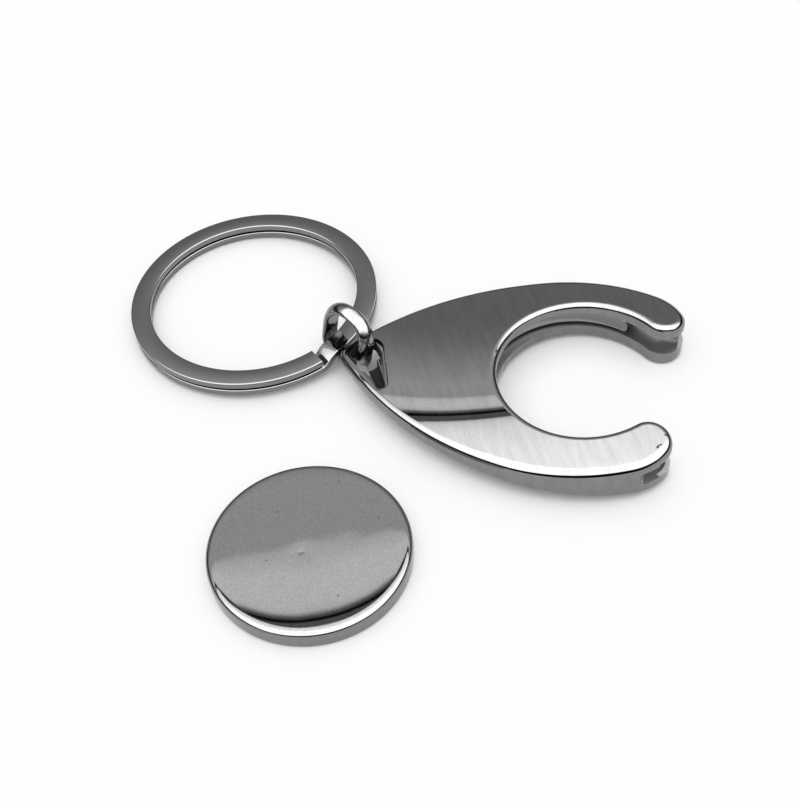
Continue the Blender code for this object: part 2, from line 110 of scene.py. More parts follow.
world = bpy.data.worlds.new("soft_box_room")
scene.world = world
world.use_nodes = True
tree = world.node_tree
tree.nodes.clear()
direction = node(tree, "ShaderNodeTexCoord")
turned = node(tree, "ShaderNodeMapping", {"Vector": direction.outputs["Generated"],
                                          "Rotation": (0, 0, -BOX_HEADING)})
split = node(tree, "ShaderNodeSeparateXYZ", {"Vector": turned.outputs[0]})
height = node(tree, "ShaderNodeMath", {0: split.outputs["Z"], 1: LEAST_RISE}, operation="MAXIMUM")
bearing = node(tree, "ShaderNodeMath", {0: height.outputs[0], 1: split.outputs["Y"]}, operation="ARCTAN2")
degrees = node(tree, "ShaderNodeMath", {0: bearing.outputs[0], 1: math.degrees(1)}, operation="MULTIPLY")
views = []
for stops in (ROOM_STOPS, RIM_STOPS):
    first, last = stops[0][0], stops[-1][0]
    share = node(tree, "ShaderNodeMapRange", {"Value": degrees.outputs[0], "From Min": first,
                                              "From Max": last})
    view = node(tree, "ShaderNodeValToRGB", {"Fac": share.outputs["Result"]})
    set_stops(view, [((at - first) / (last - first), colour) for at, colour in stops])
    views.append(view.outputs["Color"])
near_rim = node(tree, "ShaderNodeMath", {0: degrees.outputs[0], 1: (first + last) / 2, 2: (last - first) / 2},
                operation="COMPARE")
room = node(tree, "ShaderNodeMix", {"Factor": near_rim.outputs[0], "A": views[0], "B": views[1]},
            data_type="RGBA")
aside = node(tree, "ShaderNodeMath", {0: split.outputs["X"], 1: height.outputs[0]}, operation="DIVIDE")
aside = node(tree, "ShaderNodeMath", {0: aside.outputs[0]}, operation="ABSOLUTE")
edge = node(tree, "ShaderNodeMapRange", {"Value": aside.outputs[0], "From Min": BOX_SIDES[0],
                                         "From Max": BOX_SIDES[1]})
mirrored = node(tree, "ShaderNodeMix", {"Factor": edge.outputs["Result"], "A": room.outputs["Result"],
                                        "B": linear(SIDE_DARK)}, data_type="RGBA")
mirrored = node(tree, "ShaderNodeBackground", {"Color": mirrored.outputs["Result"], "Strength": BOX_STRENGTH})
soft = node(tree, "ShaderNodeBackground", {"Color": linear("ffffff"), "Strength": 1.0})
ray = node(tree, "ShaderNodeLightPath")
light = node(tree, "ShaderNodeMixShader", {"Fac": ray.outputs["Is Glossy Ray"], 1: soft.outputs[0],
                                           2: mirrored.outputs[0]})
node(tree, "ShaderNodeOutputWorld", {"Surface": light.outputs[0]})

# Table: a sheet of smooth white card that runs on behind the object, with no edge in view. Its open
# parts read as plain white to the eye and in the plating, and it darkens only close to the object.
TABLE_SIZE = 6.0
TABLE_DROP = 0.03 * MM
SHADOW_REACH = 7 * MM

bpy.ops.mesh.primitive_plane_add(size=TABLE_SIZE, location=(0, 0, -TABLE_DROP))
table = bpy.context.object
table.name = "table"
card = bpy.data.materials.new("white_card")
card.use_nodes = True
tree = card.node_tree
shader = tree.nodes["Principled BSDF"]
shader.inputs["Base Color"].default_value = linear("fafafa")
shader.inputs["Roughness"].default_value = 0.9
ray = node(tree, "ShaderNodeLightPath")
seen = node(tree, "ShaderNodeMath", {0: ray.outputs["Is Camera Ray"], 1: ray.outputs["Is Glossy Ray"]},
            operation="MAXIMUM")
seen = node(tree, "ShaderNodeMath", {0: seen.outputs[0], 1: ray.outputs["Is Transmission Ray"]},
            operation="MAXIMUM")
open_sky = node(tree, "ShaderNodeAmbientOcclusion", {"Distance": SHADOW_REACH}, samples=12)
openness = node(tree, "ShaderNodeMapRange", {"Value": open_sky.outputs["AO"], "From Min": 0.35,
                                             "From Max": 0.95, "To Max": 0.85})
share = node(tree, "ShaderNodeMath", {0: seen.outputs[0], 1: openness.outputs["Result"]},
             operation="MULTIPLY")
white = node(tree, "ShaderNodeEmission", {"Color": linear("ffffff"), "Strength": 1.0})
shown = node(tree, "ShaderNodeMixShader", {"Fac": share.outputs[0], 1: shader.outputs[0],
                                           2: white.outputs[0]})
tree.links.new(shown.outputs[0], tree.nodes["Material Output"].inputs["Surface"])
table.data.materials.append(card)

# Holder: zinc die casting, polished and plated in dark mirror-bright nickel. Two shallow domes meet
# the side wall in rolled edges, and a rounded slot at the pointed end takes the link.
OPENING_RADIUS = 10.45 * MM
NOSE_RADIUS = 2.6 * MM
NOSE_ANGLE = math.radians(48.87)
SHOULDER_RADIUS = 7.0 * MM
JAW_RADIUS = 24.46 * MM
JAW_CREST_X = -1.76 * MM
HALF_WIDTH = 15.95 * MM
FLANK_RADIUS = 39.16 * MM
TIP_RADIUS = 1.33 * MM
TIP_REACH = 30.1 * MM
DOME_TIP_HALF = 0.70 * MM
DOME_CREST_HALF = 3.57 * MM
DOME_CREST_X = 5.0 * MM
DOME_HALF_WAVE = 40.0 * MM
DOME_CROSS_RADIUS = 74.0 * MM
MID_PLANE = 3.1222 * MM
OUTER_ROLL = 1.00 * MM
INNER_ROLL = 0.80 * MM
ROLL_THICKNESS_SHARE = 0.80
LOWER_ROLL = 0.30 * MM
ROLL_STEPS = 10
ROLL_MARGIN = 0.05 * MM
MESH_STEP = 0.40 * MM
RIM_CLEAR_SHARE = 0.6
ARC_POINTS_PER_RADIAN = 9.5
HULL_STEP = math.radians(12)
SHARP_TURN = math.radians(38)
GROOVE_HALF = 1.24 * MM
CHANNEL_RADIUS = 12.45 * MM
CHANNEL_END_X = 7.9 * MM
WINDOW_FRONT_X = 10.6 * MM
WINDOW_WIDTH = 2.5 * MM
WINDOW_HEIGHT = 2.0 * MM
WINDOW_FRONT_RADIUS = 0.95 * MM
WINDOW_REAR_RADIUS = 0.35 * MM
WEB_SETBACK = 0.32 * MM
WEB_TURN = math.radians(110.0)
LEDGE_DEPTH = 0.40 * MM
LIP_RADIUS = 0.22 * MM
LIP_TURN = math.radians(72)
LIP_STEPS = 5
HOLE_LIP = 0.14 * MM
HOLE_LIP_TURN = math.radians(70)
HOLE_LIP_RISE = 0.01 * MM
HOLE_LIP_STEPS = 4
# Round corners of the slot's outlines, anticlockwise: x, y and radius in mm from the opening's centre.
RECESS = [(-26.85, 0.47, 2.03), (-28.20, -0.35, 1.15), (-24.05, -4.80, 0.95)]
HOLE = [(-26.80, 1.48, 0.92), (-28.27, -0.10, 0.60), (-26.75, -1.25, 0.55), (-25.80, 0.10, 0.90)]
TAIL = [(-25.84, -1.27, 0.75), (-24.02, -4.62, 0.55)]
TAIL_FLOOR = 2.35 * MM
TAIL_ROUND = 0.42 * MM
TAIL_STEPS = 4
OVERRUN = 2.0 * MM
OPENING_CENTRE = Vector((27.13 * MM, 28.08 * MM, 0))


def heading(vector):
    """Angle of a plan direction from the x axis."""
    return math.atan2(vector[1], vector[0])


def polar(centre, radius, turn):
    """Point at an angle and a radius round a centre in the plan."""
    return Vector((centre[0] + radius * math.cos(turn), centre[1] + radius * math.sin(turn)))


def arc(centre, radius, start, end, step=MESH_STEP):
    """Points along an arc, both ends included, no further apart than the step or about six degrees."""
    count = max(3, math.ceil(abs(end - start) * max(radius / step, ARC_POINTS_PER_RADIAN)))
    return [polar(centre, radius, start + (end - start) * i / count) for i in range(count + 1)]


def tangent_centre(centre_a, radius_a, centre_b, radius_b, side):
    """Centre that lies radius_a from one centre and radius_b from the other."""
    a = Vector(centre_a)
    b = Vector(centre_b)
    distance = (b - a).length
    along = (radius_a ** 2 - radius_b ** 2 + distance ** 2) / (2 * distance)
    across = math.sqrt(radius_a ** 2 - along ** 2)
    unit = (b - a) / distance
    return a + unit * along + Vector((-unit.y, unit.x)) * across * side


def holder_outline():
    """Points (place, radius of the rolled edge there), anticlockwise from the tip."""
    tip = Vector((TIP_RADIUS - TIP_REACH, 0))
    jaw = Vector((JAW_CREST_X, HALF_WIDTH - JAW_RADIUS))
    nose = polar((0, 0), OPENING_RADIUS + NOSE_RADIUS, NOSE_ANGLE)
    flank = tangent_centre(tip, FLANK_RADIUS - TIP_RADIUS, jaw, FLANK_RADIUS - JAW_RADIUS, -1)
    shoulder = tangent_centre(jaw, JAW_RADIUS - SHOULDER_RADIUS, nose, SHOULDER_RADIUS - NOSE_RADIUS, 1)
    outer = arc(tip, TIP_RADIUS, math.pi, heading(tip - flank))
    outer += arc(flank, FLANK_RADIUS, heading(tip - flank), heading(jaw - flank))[1:]
    outer += arc(jaw, JAW_RADIUS, heading(jaw - flank), heading(shoulder - jaw))[1:]
    outer += arc(shoulder, SHOULDER_RADIUS, heading(shoulder - jaw), heading(nose - shoulder))[1:]
    upper = [(p, OUTER_ROLL) for p in outer]
    turn = arc(nose, NOSE_RADIUS, heading(nose - shoulder), NOSE_ANGLE - math.pi)[1:]
    for i, p in enumerate(turn):
        ease = (1 - math.cos(math.pi * (i + 1) / len(turn))) / 2
        upper.append((p, OUTER_ROLL + (INNER_ROLL - OUTER_ROLL) * ease))
    upper += [(p, INNER_ROLL) for p in arc((0, 0), OPENING_RADIUS, NOSE_ANGLE, math.pi)[1:]]
    lower = [(Vector((p.x, -p.y)), roll) for p, roll in upper]
    return lower[:-1] + list(reversed(upper))[:-1]


def dome(x, y):
    """Half the holder's thickness: a cosine from crest to tip, less a shallow dome across."""
    wave = (1 + math.cos(math.pi * (x - DOME_CREST_X) / DOME_HALF_WAVE)) / 2
    return DOME_TIP_HALF + (DOME_CREST_HALF - DOME_TIP_HALF) * wave - y * y / (2 * DOME_CROSS_RADIUS)


def rounded_hull(circles, grow=0.0):
    """Outline stretched round circles (x, y, radius in mm) listed anticlockwise, grown by a length."""
    circles = [(x * MM, y * MM, radius * MM + grow) for x, y, radius in circles]
    bearings = []
    for i, (x, y, radius) in enumerate(circles):
        next_x, next_y, next_radius = circles[(i + 1) % len(circles)]
        step = Vector((next_x - x, next_y - y))
        bearings.append(heading(step) - math.pi / 2 + math.asin((radius - next_radius) / step.length))
    points = []
    for i, (x, y, radius) in enumerate(circles):
        turn = (bearings[i] - bearings[i - 1]) % (2 * math.pi)
        count = max(2, math.ceil(turn / HULL_STEP))
        points += [polar((x, y), radius, bearings[i - 1] + turn * k / count) for k in range(count + 1)]
    return points


def inside(point, loop):
    """True where a point of the plan lies within a closed loop of the plan."""
    crossings = 0
    for a, b in zip(loop, loop[1:] + loop[:1]):
        if (a.y > point.y) != (b.y > point.y):
            crossings += point.x < a.x + (point.y - a.y) / (b.y - a.y) * (b.x - a.x)
    return crossings % 2 == 1


def fill_plan(mesh, rim, height, flip):
    """Fills the plan inside a rim with small triangles at their height."""
    loop = [Vector(v.co.xy) for v in rim]
    plan = list(loop)
    edges = [(i, (i + 1) % len(loop)) for i in range(len(loop))]
    xs = [p.x for p in loop]
    ys = [p.y for p in loop]
    rows = math.ceil((max(ys) - min(ys)) / MESH_STEP)
    columns = math.ceil((max(xs) - min(xs)) / MESH_STEP)
    for row in range(1, rows):
        for column in range(columns + 1):
            x = min(xs) + (column + 0.5 * (row % 2)) * MESH_STEP
            point = Vector((x, min(ys) + row * (max(ys) - min(ys)) / rows))
            if not inside(point, loop):
                continue
            if min((point - p).length for p in loop) > RIM_CLEAR_SHARE * MESH_STEP:
                plan.append(point)
    scaled = [p / MM for p in plan]
    points, _, faces, sources, _, _ = delaunay_2d_cdt(scaled, edges, [], 1, 1e-6)
    verts = []
    for point, source in zip(points, sources):
        own = [i for i in source if i < len(rim)]
        x, y = point * MM
        verts.append(rim[own[0]] if own else mesh.verts.new((x, y, height(x, y))))
    for face in faces:
        corners = [verts[i] for i in face]
        mesh.faces.new(list(reversed(corners)) if flip else corners)


def skin(mesh, rows):
    """Quads between neighbouring closed rows of equal length."""
    for near, far in zip(rows, rows[1:]):
        for i in range(len(near)):
            mesh.faces.new((near[i - 1], near[i], far[i], far[i - 1]))


def ring_of(mesh, points, height):
    """New vertices over points of the plan."""
    return [mesh.verts.new((p.x, p.y, height(p.x, p.y))) for p in points]


def solid(mesh, name):
    """An object of the scene from a closed bmesh that was laid out round the opening's centre."""
    bmesh.ops.recalc_face_normals(mesh, faces=mesh.faces)
    data = bpy.data.meshes.new(name)
    mesh.to_mesh(data)
    mesh.free()
    data.transform(Matrix.Translation(OPENING_CENTRE))
    made = bpy.data.objects.new(name, data)
    scene.collection.objects.link(made)
    return made


def finish(name, mesh, body_name, cad_node):
    """Puts a finished mesh in the scene in place of its CAD node."""
    piece = bpy.data.objects.new(name, mesh)
    scene.collection.objects.link(piece)
    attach(piece, body_name)
    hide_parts(cad_node)


outline = holder_outline()
places = [p for p, roll in outline]
inward = []
for i, point in enumerate(places):
    before = (point - places[i - 1]).normalized()
    after = (places[(i + 1) % len(places)] - point).normalized()
    inward.append(Vector((-(before.y + after.y), before.x + after.x)) / (1 + before.dot(after)))
body = bmesh.new()
rims = {}
for face in (1, -1):
    rims[face] = []
    rolls = [min(roll, ROLL_THICKNESS_SHARE * dome(p.x, p.y)) if face > 0 else LOWER_ROLL
             for p, roll in outline]
    for step in range(ROLL_STEPS + 1):
        turn = math.pi / 2 * step / ROLL_STEPS
        rim = []
        for p, n, roll in zip(places, inward, rolls):
            x, y = p + n * roll * (1 - math.cos(turn))
            half_height = dome(x, y) - roll * (1 - math.sin(turn))
            rim.append(body.verts.new((x, y, MID_PLANE + face * half_height)))
        rims[face].append(rim)
    loop = [p + n * (roll + ROLL_MARGIN) for p, n, roll in zip(places, inward, rolls)]
    rims[face].append(ring_of(body, loop, lambda x, y: MID_PLANE + face * dome(x, y)))
skin(body, [rims[1][0], rims[-1][0]])
for face in (1, -1):
    skin(body, rims[face])
fill_plan(body, rims[1][-1], lambda x, y: MID_PLANE + dome(x, y), False)
fill_plan(body, rims[-1][-1], lambda x, y: MID_PLANE - dome(x, y), True)
casting = solid(body, "holder_casting")


def cutter(name, rows, level=1):
    """Subtracts the closed block over rows of points. Its faces are buffed (0), cast with a lighter tone that
    is partly painted light (1), or deep with painted shade (2).
    """
    block = bmesh.new()
    rings = [[block.verts.new(p) for p in row] for row in rows]
    skin(block, rings)
    block.faces.new(list(reversed(rings[0])))
    block.faces.new(rings[-1])
    tool = solid(block, name)
    for polygon in tool.data.polygons:
        polygon.material_index = level
    cut = casting.modifiers.new(name, "BOOLEAN")
    cut.operation = "DIFFERENCE"
    cut.solver = "EXACT"
    cut.material_mode = "INDEX"
    cut.object = tool
    return tool


def upright(outline_points, low, high):
    """Two rows of points, one over the other, for a cutter with upright walls."""
    return [[Vector((p.x, p.y, z)) for p in outline_points] for z in (low, high)]


ledge = MID_PLANE + dome(RECESS[0][0] * MM, 0) - LEDGE_DEPTH
rows = [[Vector((p.x, p.y, ledge)) for p in rounded_hull(RECESS)]]
for step in range(LIP_STEPS + 2):
    turn = LIP_TURN * min(step, LIP_STEPS) / LIP_STEPS
    loop = rounded_hull(RECESS, LIP_RADIUS * (1 - math.cos(turn)))
    drop = LIP_RADIUS * (1 - math.sin(turn)) if step <= LIP_STEPS else -OVERRUN
    rows.append([Vector((p.x, p.y, MID_PLANE + dome(p.x, p.y) - drop)) for p in loop])
tools = [cutter("recess", rows, 0)]
for name, circles in (("hole", HOLE), ("tail", TAIL)):
    rows = [[Vector((p.x, p.y, -OVERRUN)) for p in rounded_hull(circles)]]
    if name == "tail":
        rows = []
        for step in range(TAIL_STEPS + 1):
            turn = math.pi / 2 * step / TAIL_STEPS
            loop = rounded_hull(circles, -TAIL_ROUND * (1 - math.sin(turn)))
            z = TAIL_FLOOR + TAIL_ROUND * (1 - math.cos(turn))
            rows.append([Vector((p.x, p.y, z)) for p in loop])
    for step in range(HOLE_LIP_STEPS + 1):
        turn = HOLE_LIP_TURN * step / HOLE_LIP_STEPS
        grow = HOLE_LIP * (1 - math.cos(turn))
        z = ledge - HOLE_LIP * (math.sin(HOLE_LIP_TURN) - math.sin(turn)) + HOLE_LIP_RISE
        rows.append([Vector((p.x, p.y, z)) for p in rounded_hull(circles, grow)])
    rows.append([Vector((p.x, p.y, ledge + OVERRUN)) for p in rounded_hull(circles, grow)])
    # The hole and the tail of the slot take level 2, which paints them dark as shade for their depth.
    tools.append(cutter(name, rows, 2))
turn = math.acos(CHANNEL_END_X / CHANNEL_RADIUS)
groove = arc((0, 0), CHANNEL_RADIUS, turn, 2 * math.pi - turn)
groove = [Vector((WINDOW_FRONT_X, groove[-1].y)), Vector((WINDOW_FRONT_X, groove[0].y))] + groove
tools.append(cutter("groove", upright(groove, MID_PLANE - GROOVE_HALF, MID_PLANE + GROOVE_HALF)))
for side in (1, -1):
    nose = polar((0, 0), OPENING_RADIUS + NOSE_RADIUS, NOSE_ANGLE)
    nose.y *= side
    middle = side * (NOSE_ANGLE - math.pi / 4)
    crescent = arc(nose, NOSE_RADIUS - WEB_SETBACK, middle - WEB_TURN / 2, middle + WEB_TURN / 2)
    crescent += arc(nose, NOSE_RADIUS + OVERRUN, middle + WEB_TURN / 2, middle - WEB_TURN / 2)
    tools.append(cutter("web", upright(crescent, MID_PLANE - GROOVE_HALF, MID_PLANE + GROOVE_HALF)))
    half = WINDOW_WIDTH / 2
    rise = WINDOW_HEIGHT / 2
    corners = []
    for x, z, radius in ((half, -rise, WINDOW_FRONT_RADIUS), (half, rise, WINDOW_FRONT_RADIUS),
                         (-half, rise, WINDOW_REAR_RADIUS), (-half, -rise, WINDOW_REAR_RADIUS)):
        centre_x = x - math.copysign(radius, x)
        centre_z = z - math.copysign(radius, z)
        corners.append((centre_x / MM, centre_z / MM, radius / MM))
    profile = rounded_hull(corners)
    deep = math.sqrt(CHANNEL_RADIUS ** 2 - CHANNEL_END_X ** 2) - OVERRUN
    rows = [[Vector((WINDOW_FRONT_X - half + p.x, side * y, MID_PLANE + p.y)) for p in profile]
            for y in (deep, HALF_WIDTH + OVERRUN)]
    tools.append(cutter("window", rows))

# Dark nickel plate over a buffed casting: neutral grey metal, a near-perfect mirror with faint
# streaks from the buffing wheel across the arms and two short nicks on the near one. The wheel
# doesn't reach the groove and the slot, so the cast skin there is duller. The groove, web and
# windows are also given a lighter colour, which is painted light standing in for light reaching inside
# them. The hole and tail of the slot are given a dark colour, which is painted shade for their depth.
# The real grain is finer than the render can show and is drawn at 0.15 mm.
BUFFING_TURN = math.radians(-66)
STREAK_SIZE = (5 * MM, 0.7 * MM, 3 * MM)
PLATE_GRAIN = 0.15 * MM
# Each nick: x, y, turn in degrees, half length and half width in mm.
NICKS = [(36.75, 17.3, 49, 0.8, 0.26), (37.45, 18.95, -20, 0.4, 0.2)]
NICK_HEIGHT = MID_PLANE + 2.2 * MM
NICK_REACH = 1.5 * MM
NICK_EDGE = 0.2 * MM
# Cast faces: the duller skin's tone, lightened as painted light reaching inside the groove, web and windows.
# Deep faces: painted shade.
CAST_SKIN_AND_PAINTED_LIGHT = "a4a4a4"
DEEP_PAINTED_SHADE = "343434"

plate = bpy.data.materials.new("buffed_dark_nickel_plate")
plate.use_nodes = True
tree = plate.node_tree
shader = tree.nodes["Principled BSDF"]
shader.inputs["Metallic"].default_value = 1.0
place = node(tree, "ShaderNodeTexCoord").outputs["Object"]
buffing = node(tree, "ShaderNodeMapping", {"Vector": place, "Rotation": (0, 0, BUFFING_TURN),
                                           "Scale": STREAK_SIZE}, vector_type="TEXTURE")
lines = node(tree, "ShaderNodeTexNoise", {"Vector": buffing.outputs[0], "Scale": 1.0, "Detail": 3.0,
                                          "Roughness": 0.55})
grain = node(tree, "ShaderNodeTexNoise", {"Vector": place, "Scale": 1 / PLATE_GRAIN, "Detail": 2.0})
uneven = node(tree, "ShaderNodeMix", {"Factor": 0.45, "A": lines.outputs["Fac"], "B": grain.outputs["Fac"]})
shade = node(tree, "ShaderNodeValToRGB", {"Fac": uneven.outputs["Result"]})
set_stops(shade, [(0.36, "7e7e7e"), (0.62, "8a8a8a")])
colour = shade.outputs["Color"]
ragged = node(tree, "ShaderNodeTexNoise", {"Vector": place, "Scale": 1 / NICK_EDGE, "Detail": 1.0})
for x, y, turn, length, width in NICKS:
    mark = node(tree, "ShaderNodeMapping", {"Vector": place, "Location": (x * MM, y * MM, NICK_HEIGHT),
                                            "Rotation": (0, 0, math.radians(turn)),
                                            "Scale": (length * MM, width * MM, NICK_REACH)},
                vector_type="TEXTURE")
    away = node(tree, "ShaderNodeVectorMath", {0: mark.outputs[0]}, operation="LENGTH")
    edge = node(tree, "ShaderNodeMath", {0: ragged.outputs["Fac"], 1: 1.6, 2: away.outputs["Value"]},
                operation="MULTIPLY_ADD")
    depth = node(tree, "ShaderNodeMapRange", {"Value": edge.outputs[0], "From Min": 1.3, "From Max": 1.6,
                                              "To Min": 1.0, "To Max": 0.0})
    colour = node(tree, "ShaderNodeMix", {"Factor": depth.outputs["Result"], "A": colour,
                                          "B": linear("2a2a2a")}, data_type="RGBA").outputs["Result"]
shade_and_skin_level = node(tree, "ShaderNodeAttribute", attribute_name="unbuffed_and_painted_light").outputs["Fac"]
# Painted light: level 1 faces take the lighter tone and level 2 faces the dark painted shade.
for level, tone in ((1, CAST_SKIN_AND_PAINTED_LIGHT), (2, DEEP_PAINTED_SHADE)):
    here = node(tree, "ShaderNodeMath", {0: shade_and_skin_level, 1: level - 0.5}, operation="GREATER_THAN")
    colour = node(tree, "ShaderNodeMix", {"Factor": here.outputs[0], "A": colour, "B": linear(tone)},
                  data_type="RGBA").outputs["Result"]
tree.links.new(colour, shader.inputs["Base Color"])
plate_haze = node(tree, "ShaderNodeMapRange", {"Value": lines.outputs["Fac"], "From Min": 0.3,
                                               "From Max": 0.75, "To Min": 0.01, "To Max": 0.03})
dull = node(tree, "ShaderNodeMath", {0: shade_and_skin_level, 1: 0.42, 2: plate_haze.outputs["Result"]},
            operation="MULTIPLY_ADD", use_clamp=True)
tree.links.new(dull.outputs[0], shader.inputs["Roughness"])
plate_bump = node(tree, "ShaderNodeBump", {"Strength": 0.04, "Distance": 0.02 * MM,
                                           "Height": lines.outputs["Fac"]})
tree.links.new(plate_bump.outputs["Normal"], shader.inputs["Normal"])

for part in tools + [casting]:
    for i in range(3):
        part.data.materials.append(plate)
graph = bpy.context.evaluated_depsgraph_get()
data = bpy.data.meshes.new_from_object(casting.evaluated_get(graph))
for tool in tools + [casting]:
    bpy.data.objects.remove(tool)
# Each face keeps its level. Level 1 is partly painted light and level 2 is painted shade.
levels = data.attributes.new("unbuffed_and_painted_light", "FLOAT", "FACE")
for i, polygon in enumerate(data.polygons):
    levels.data[i].value = polygon.material_index
    polygon.material_index = 0
data.materials.clear()
data.materials.append(plate)
data.shade_smooth()
data.set_sharp_from_angle(angle=SHARP_TURN)
finish("holder_body", data, "holder", "coin_holder")


# Spring: a strip of cold-rolled spring steel, bent to a C and sprung into the channel, where it
# grips the token. Rolling leaves fine lines along it and a duller face than the plating has.
STRIP_INNER_RADIUS = 11.0 * MM
STRIP_THICKNESS = 0.40 * MM
STRIP_HEIGHT = 1.90 * MM
STRIP_BACKSET = 0.75 * MM
STRIP_HALF_SPAN = math.radians(117)
STRIP_END_RADIUS = 0.70 * MM
STRIP_CORNER = 0.13 * MM
STRIP_STEPS = 240
STRIP_SPACING = 0.15 * MM
ROLLING_LINES = 0.12 * MM
WELD = 0.0005 * MM

band = bpy.data.node_groups.new("band_along_a_line", "GeometryNodeTree")
for name, kind in (("Geometry", "Geometry"), ("Across", "Float"), ("Upright", "Float"), ("Crown", "Float"),
                   ("Corner radius", "Float"), ("Spacing", "Float"), ("Crown cuts", "Int"),
                   ("Metal", "Material")):
    band.interface.new_socket(name, in_out="INPUT", socket_type="NodeSocket" + kind)
band.interface.new_socket("Geometry", in_out="OUTPUT", socket_type="NodeSocketGeometry")
given = node(band, "NodeGroupInput").outputs
line = node(band, "GeometryNodeMeshToCurve", {"Mesh": given["Geometry"]})
even = node(band, "GeometryNodeResampleCurve", {"Curve": line.outputs["Curve"], "Length": given["Spacing"]},
            mode="LENGTH")
levelled = node(band, "GeometryNodeSetCurveNormal", {"Curve": even.outputs["Curve"]}, mode="Z_UP")
blank = node(band, "GeometryNodeCurvePrimitiveQuadrilateral", {"Width": given["Across"],
                                                               "Height": given["Upright"]})
eased = node(band, "GeometryNodeFilletCurve", {"Curve": blank.outputs["Curve"], "Count": 5,
                                               "Radius": given["Corner radius"]}, mode="POLY")
finer = node(band, "GeometryNodeSubdivideCurve", {"Curve": eased.outputs["Curve"],
                                                  "Cuts": given["Crown cuts"]})
spot = node(band, "ShaderNodeSeparateXYZ", {"Vector": node(band, "GeometryNodeInputPosition").outputs[0]})
half = node(band, "ShaderNodeMath", {0: given["Upright"], 1: 0.5}, operation="MULTIPLY")
reach = node(band, "ShaderNodeMath", {0: spot.outputs["Y"], 1: half.outputs[0]}, operation="DIVIDE")
square = node(band, "ShaderNodeMath", {0: reach.outputs[0], 1: 2.0}, operation="POWER")
arch = node(band, "ShaderNodeMath", {0: 1.0, 1: square.outputs[0]}, operation="SUBTRACT")
bulge = node(band, "ShaderNodeMath", {0: arch.outputs[0], 1: given["Crown"]}, operation="MULTIPLY")
front = node(band, "ShaderNodeMath", {0: spot.outputs["X"], 1: 0.0}, operation="GREATER_THAN")
swell = node(band, "ShaderNodeMath", {0: bulge.outputs[0], 1: front.outputs[0]}, operation="MULTIPLY")
shift = node(band, "ShaderNodeCombineXYZ", {"X": swell.outputs[0]})
section = node(band, "GeometryNodeSetPosition", {"Geometry": finer.outputs["Curve"],
                                                 "Offset": shift.outputs[0]})
swept = node(band, "GeometryNodeCurveToMesh", {"Curve": levelled.outputs["Curve"], "Fill Caps": True,
                                               "Profile Curve": section.outputs["Geometry"]})
whole = node(band, "GeometryNodeRealizeInstances", {"Geometry": swept.outputs["Mesh"]})
faced = node(band, "GeometryNodeSetMaterial", {"Geometry": whole.outputs[0], "Material": given["Metal"]})
node(band, "NodeGroupOutput", {"Geometry": faced.outputs["Geometry"]})


def swept_band(name, points, closed, sizes, metal, to_world):
    """Mesh of a band that follows points; to_world moves it from the line's own frame."""
    path = bpy.data.meshes.new(name + "_line")
    edges = [(i, i + 1) for i in range(len(points) - 1)]
    path.from_pydata(points, edges + ([(len(points) - 1, 0)] if closed else []), [])
    carrier = bpy.data.objects.new(name + "_line", path)
    scene.collection.objects.link(carrier)
    live = carrier.modifiers.new("band", "NODES")
    live.node_group = band
    values = dict(sizes, Metal=metal)
    for socket in band.interface.items_tree:
        if socket.in_out == "INPUT" and socket.name in values:
            live[socket.identifier] = values[socket.name]
    graph = bpy.context.evaluated_depsgraph_get()
    mesh = bpy.data.meshes.new_from_object(carrier.evaluated_get(graph))
    bpy.data.objects.remove(carrier)
    mesh.transform(to_world)
    # The link's frame is mirrored, so the faces are turned outwards after the move.
    shell = bmesh.new()
    shell.from_mesh(mesh)
    bmesh.ops.remove_doubles(shell, verts=shell.verts, dist=WELD)
    bmesh.ops.recalc_face_normals(shell, faces=shell.faces)
    shell.to_mesh(mesh)
    shell.free()
    mesh.name = name
    mesh.shade_smooth()
    mesh.set_sharp_from_angle(angle=SHARP_TURN)
    return mesh


steel = bpy.data.materials.new("cold_rolled_spring_steel")
steel.use_nodes = True
tree = steel.node_tree
shader = tree.nodes["Principled BSDF"]
shader.inputs["Metallic"].default_value = 1.0
shader.inputs["Base Color"].default_value = linear("7e7e7e")
place = node(tree, "ShaderNodeTexCoord").outputs["Object"]
flat = node(tree, "ShaderNodeMapping", {"Vector": place, "Scale": (0.1, 0.1, 1.0)})
rolled = node(tree, "ShaderNodeTexNoise", {"Vector": flat.outputs[0], "Scale": 1 / ROLLING_LINES,
                                           "Detail": 2.0})
dull = node(tree, "ShaderNodeMapRange", {"Value": rolled.outputs["Fac"], "To Min": 0.14, "To Max": 0.30})
tree.links.new(dull.outputs["Result"], shader.inputs["Roughness"])
bump = node(tree, "ShaderNodeBump", {"Strength": 0.15, "Distance": 0.01 * MM,
                                     "Height": rolled.outputs["Fac"]})
tree.links.new(bump.outputs["Normal"], shader.inputs["Normal"])

length = STRIP_INNER_RADIUS * STRIP_HALF_SPAN
middle_radius = STRIP_INNER_RADIUS + STRIP_THICKNESS / 2
points = [(*polar((0, 0), middle_radius, math.pi + STRIP_HALF_SPAN * (2 * i / STRIP_STEPS - 1)), 0.0)
          for i in range(STRIP_STEPS + 1)]
mesh = swept_band("spring_steel_strip", points, False,
                  {"Across": STRIP_THICKNESS, "Upright": STRIP_HEIGHT, "Crown": 0.0, "Spacing": STRIP_SPACING,
                   "Corner radius": STRIP_CORNER, "Crown cuts": 0}, steel, Matrix.Identity(4))
for vertex in mesh.vertices:
    turn = abs((math.atan2(vertex.co.y, vertex.co.x) % (2 * math.pi)) - math.pi)
    from_end = length - turn * STRIP_INNER_RADIUS
    if from_end < STRIP_END_RADIUS:
        rise = math.sqrt(max(0.0, STRIP_END_RADIUS ** 2 - (STRIP_END_RADIUS - from_end) ** 2))
        vertex.co.z *= 1 - (STRIP_END_RADIUS - rise) / (STRIP_HEIGHT / 2)
mesh.transform(Matrix.Translation(OPENING_CENTRE + Vector((-STRIP_BACKSET, 0, MID_PLANE))))
finish("spring_strip_band", mesh, "holder", "spring_strip")

